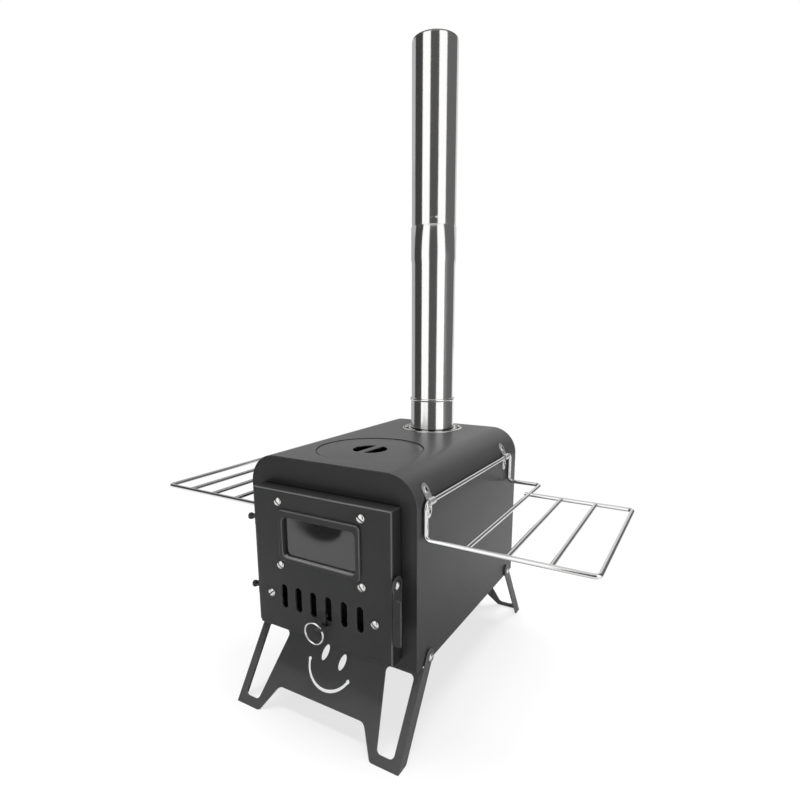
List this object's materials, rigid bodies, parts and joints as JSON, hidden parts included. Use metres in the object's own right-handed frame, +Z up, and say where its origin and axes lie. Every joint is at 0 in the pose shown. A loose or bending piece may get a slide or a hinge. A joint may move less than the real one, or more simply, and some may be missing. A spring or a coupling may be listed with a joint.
{
  "type": "folding tent wood stove",
  "caption": "Small wood-burning tent stove with a windowed door, a cook lid, a two-section flue, folding leg plates and folding wire side shelves.",
  "frame": {"origin": "on the ground under the middle of the firebox", "axes": "+Z up, -Y toward the door, +X to the latch side"},
  "size_m": [0.5622, 0.3804, 0.7926],
  "materials": {
    "stove_paint": "matt heat-resistant dark grey",
    "leg_paint": "matt dark grey",
    "stainless": "bright drawn stainless",
    "wire_chrome": "polished",
    "screw_steel": "zinc plated",
    "bare_steel": "dull mill steel",
    "window_glass": "smoked ceramic glass",
    "gasket_cord": "woven glass fibre"
  },
  "bodies": {
    "firebox": {"body_shell": "stove_paint", "front_panel": "stove_paint", "rear_panel": "stove_paint", "floor_tray": "stove_paint", "fire_grate": "bare_steel", "lid_ledge": "stove_paint", "chimney_socket": "stainless", "collar_screws": "screw_steel", "collar_nuts": "screw_steel", "hinge_brackets": "stove_paint", "hinge_pins": "stove_paint", "latch_keeper": "stove_paint", "front_leg_bolts": "screw_steel", "rear_leg_bolts": "screw_steel", "leg_washers": "screw_steel", "leg_nuts": "screw_steel", "right_shelf_clips": "wire_chrome", "left_shelf_clips": "wire_chrome", "right_clip_rivets": "screw_steel", "left_clip_rivets": "screw_steel"},
    "door": {"door_pan": "stove_paint", "door_lugs": "stove_paint", "window_glass": "window_glass", "glass_gasket": "gasket_cord", "glass_clamp": "stove_paint", "window_screws": "screw_steel", "window_nuts": "screw_steel", "damper_screws": "screw_steel", "damper_nuts": "screw_steel"},
    "damper": {"damper_slide": "stove_paint"},
    "ring": {"pull_ring": "wire_chrome"},
    "latch": {"latch_lever": "stove_paint", "latch_spindle": "bare_steel", "latch_screw": "screw_steel", "latch_cam": "bare_steel"},
    "lid": {"cook_lid": "stove_paint"},
    "lower_flue": {"lower_pipe": "stainless"},
    "upper_flue": {"upper_pipe": "stainless"},
    "front_leg": {"front_leg_plate": "leg_paint"},
    "rear_leg": {"rear_leg_plate": "leg_paint"},
    "right_shelf": {"right_shelf_loop": "wire_chrome", "right_shelf_crossbars": "wire_chrome"},
    "left_shelf": {"left_shelf_loop": "wire_chrome", "left_shelf_crossbars": "wire_chrome"}
  },
  "joints": [
    {"name": "door_hinge", "type": "hinge", "parent": "firebox", "child": "door", "pos_m": [-0.104, -0.1575, 0.18], "axis": [0, 0, -1], "range_deg": [0, 165]},
    {"name": "latch_turn", "type": "hinge", "parent": "door", "child": "latch", "pos_m": [0.091, -0.1595, 0.1881], "axis": [-1, 0, 0], "range_deg": [0, 50]},
    {"name": "damper_slide", "type": "slide", "parent": "door", "child": "damper", "axis": [1, 0, 0], "range_m": [0, 0.0064]},
    {"name": "ring_swing", "type": "hinge", "parent": "damper", "child": "ring", "pos_m": [0.0049, -0.1725, 0.12125], "axis": [-1, 0, 0], "range_deg": [-15, 15]},
    {"name": "lid_lift", "type": "slide", "parent": "firebox", "child": "lid", "axis": [0, 0, 1], "range_m": [0, 0.1]},
    {"name": "lower_flue_lift", "type": "slide", "parent": "firebox", "child": "lower_flue", "axis": [0, 0, 1], "range_m": [0, 0.06]},
    {"name": "upper_flue_lift", "type": "slide", "parent": "lower_flue", "child": "upper_flue", "axis": [0, 0, 1], "range_m": [0, 0.06]},
    {"name": "front_leg_fold", "type": "hinge", "parent": "firebox", "child": "front_leg", "pos_m": [0, -0.1216, 0.093], "axis": [1, 0, 0], "range_deg": [0, 122.5]},
    {"name": "rear_leg_fold", "type": "hinge", "parent": "firebox", "child": "rear_leg", "pos_m": [0, 0.1216, 0.093], "axis": [-1, 0, 0], "range_deg": [0, 122.5]},
    {"name": "right_shelf_fold", "type": "hinge", "parent": "firebox", "child": "right_shelf", "pos_m": [0.1128, 0, 0.2685], "axis": [0, 1, 0], "range_deg": [-180, 0]},
    {"name": "left_shelf_fold", "type": "hinge", "parent": "firebox", "child": "left_shelf", "pos_m": [-0.1128, 0, 0.2685], "axis": [0, -1, 0], "range_deg": [-174, 0]}
  ]
}
